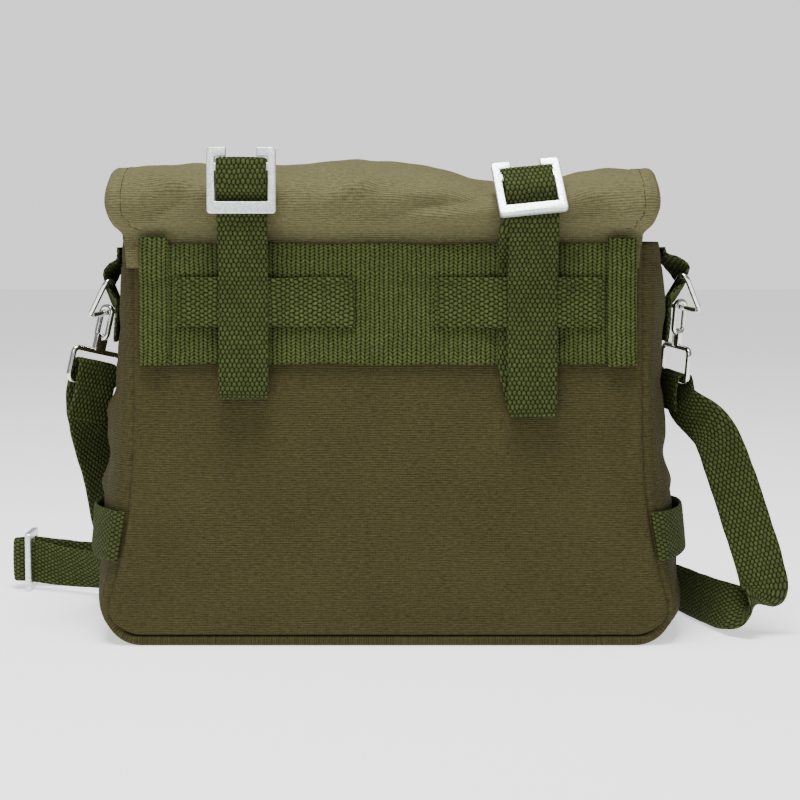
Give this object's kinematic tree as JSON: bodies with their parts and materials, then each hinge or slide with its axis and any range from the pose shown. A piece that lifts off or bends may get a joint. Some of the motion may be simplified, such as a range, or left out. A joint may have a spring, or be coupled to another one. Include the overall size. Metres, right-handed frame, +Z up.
{
  "type": "canvas haversack with a shoulder strap",
  "caption": "Small canvas haversack seen from behind, with a flap, a webbing band, belt loops with open buckles and a hooked-on shoulder strap.",
  "frame": {"origin": "centre of the flat base, where the bag stands on the floor", "axes": "+Z up; +X to the right seen from the side that lies against the body, along the bag's width; -Y out of that side, and +Y out of the flap's front"},
  "size_m": [0.4304, 0.191, 0.2515],
  "materials": {
    "canvas": "heavy cotton canvas with fine ribs across, dark olive brown",
    "webbing": "woven cotton webbing, olive green",
    "cast_alloy": "matt near-white aluminium",
    "plated_wire": "bright nickel plate"
  },
  "bodies": {
    "root": {"back_panel": "canvas", "front_panel": "canvas", "gusset": "canvas", "flap": "canvas", "back_band": "webbing", "band_end_left": "webbing", "band_end_right": "webbing", "keeper_left": "webbing", "keeper_right": "webbing", "belt_strap_left": "webbing", "belt_strap_right": "webbing", "ring_tab_left": "webbing", "ring_tab_right": "webbing", "side_band_left": "webbing", "side_band_right": "webbing", "closure_strap_left": "webbing", "closure_strap_right": "webbing", "closure_tab_left": "webbing", "closure_tab_right": "webbing", "shoulder_strap": "webbing", "belt_buckle_left": "cast_alloy", "belt_buckle_right": "cast_alloy", "closure_buckle_left": "cast_alloy", "closure_buckle_right": "cast_alloy", "strap_slide": "cast_alloy", "triangle_ring_left": "plated_wire", "triangle_ring_right": "plated_wire", "snap_hook_left": "plated_wire", "snap_hook_right": "plated_wire"}
  },
  "joints": []
}
